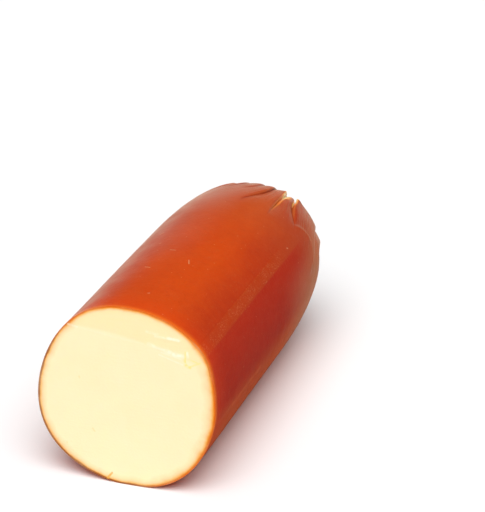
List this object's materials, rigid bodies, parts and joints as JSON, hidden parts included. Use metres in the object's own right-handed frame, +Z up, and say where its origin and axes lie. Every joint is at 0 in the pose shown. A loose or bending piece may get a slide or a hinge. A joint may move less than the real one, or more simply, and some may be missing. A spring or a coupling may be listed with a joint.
{
  "type": "smoked processed cheese log",
  "caption": "Cylindrical log of smoked processed cheese with an orange-brown rind, a pale cut face at one end and a domed end gathered into radial folds.",
  "frame": {"origin": "below the middle of the log's bounding box, in the plane of the flat that it rests on", "axes": "+Y along the log from the cut face to the gathered end, +Z up from the flat it rests on, +X to the right when the cut face is seen from the front"},
  "size_m": [0.0942, 0.2222, 0.0939],
  "materials": {
    "cheese": "satin smoked rind, orange-brown, with a smooth pale cream cut face"
  },
  "bodies": {
    "root": {"cheese": "cheese"}
  },
  "joints": []
}
